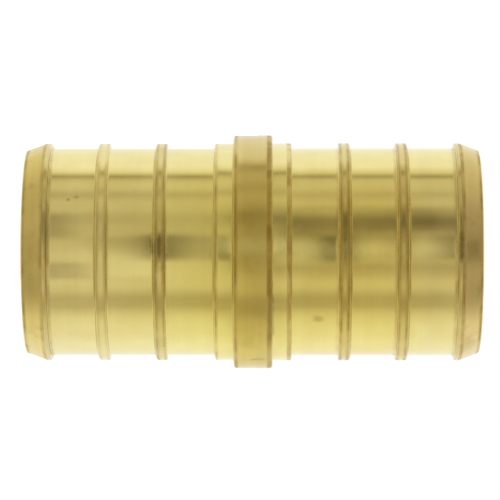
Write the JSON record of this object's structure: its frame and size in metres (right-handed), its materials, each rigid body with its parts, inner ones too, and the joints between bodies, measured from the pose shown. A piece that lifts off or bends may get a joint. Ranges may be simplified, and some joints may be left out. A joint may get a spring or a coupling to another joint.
{
  "type": "pex crimp coupling",
  "caption": "Straight turned brass insert coupling for joining two ends of plastic water tube, with crimp ribs and a lead-in barb at each end and a round stop collar in the middle.",
  "frame": {"origin": "on the axis, in the lower end face that the coupling stands on", "axes": "+Z along the coupling's axis from the lower end to the upper end; X and Y are free because it is round"},
  "size_m": [0.0234, 0.0234, 0.0455],
  "materials": {
    "brass": "bright turned brass with faint tool marks"
  },
  "bodies": {
    "root": {"coupling_body": "brass"}
  },
  "joints": []
}
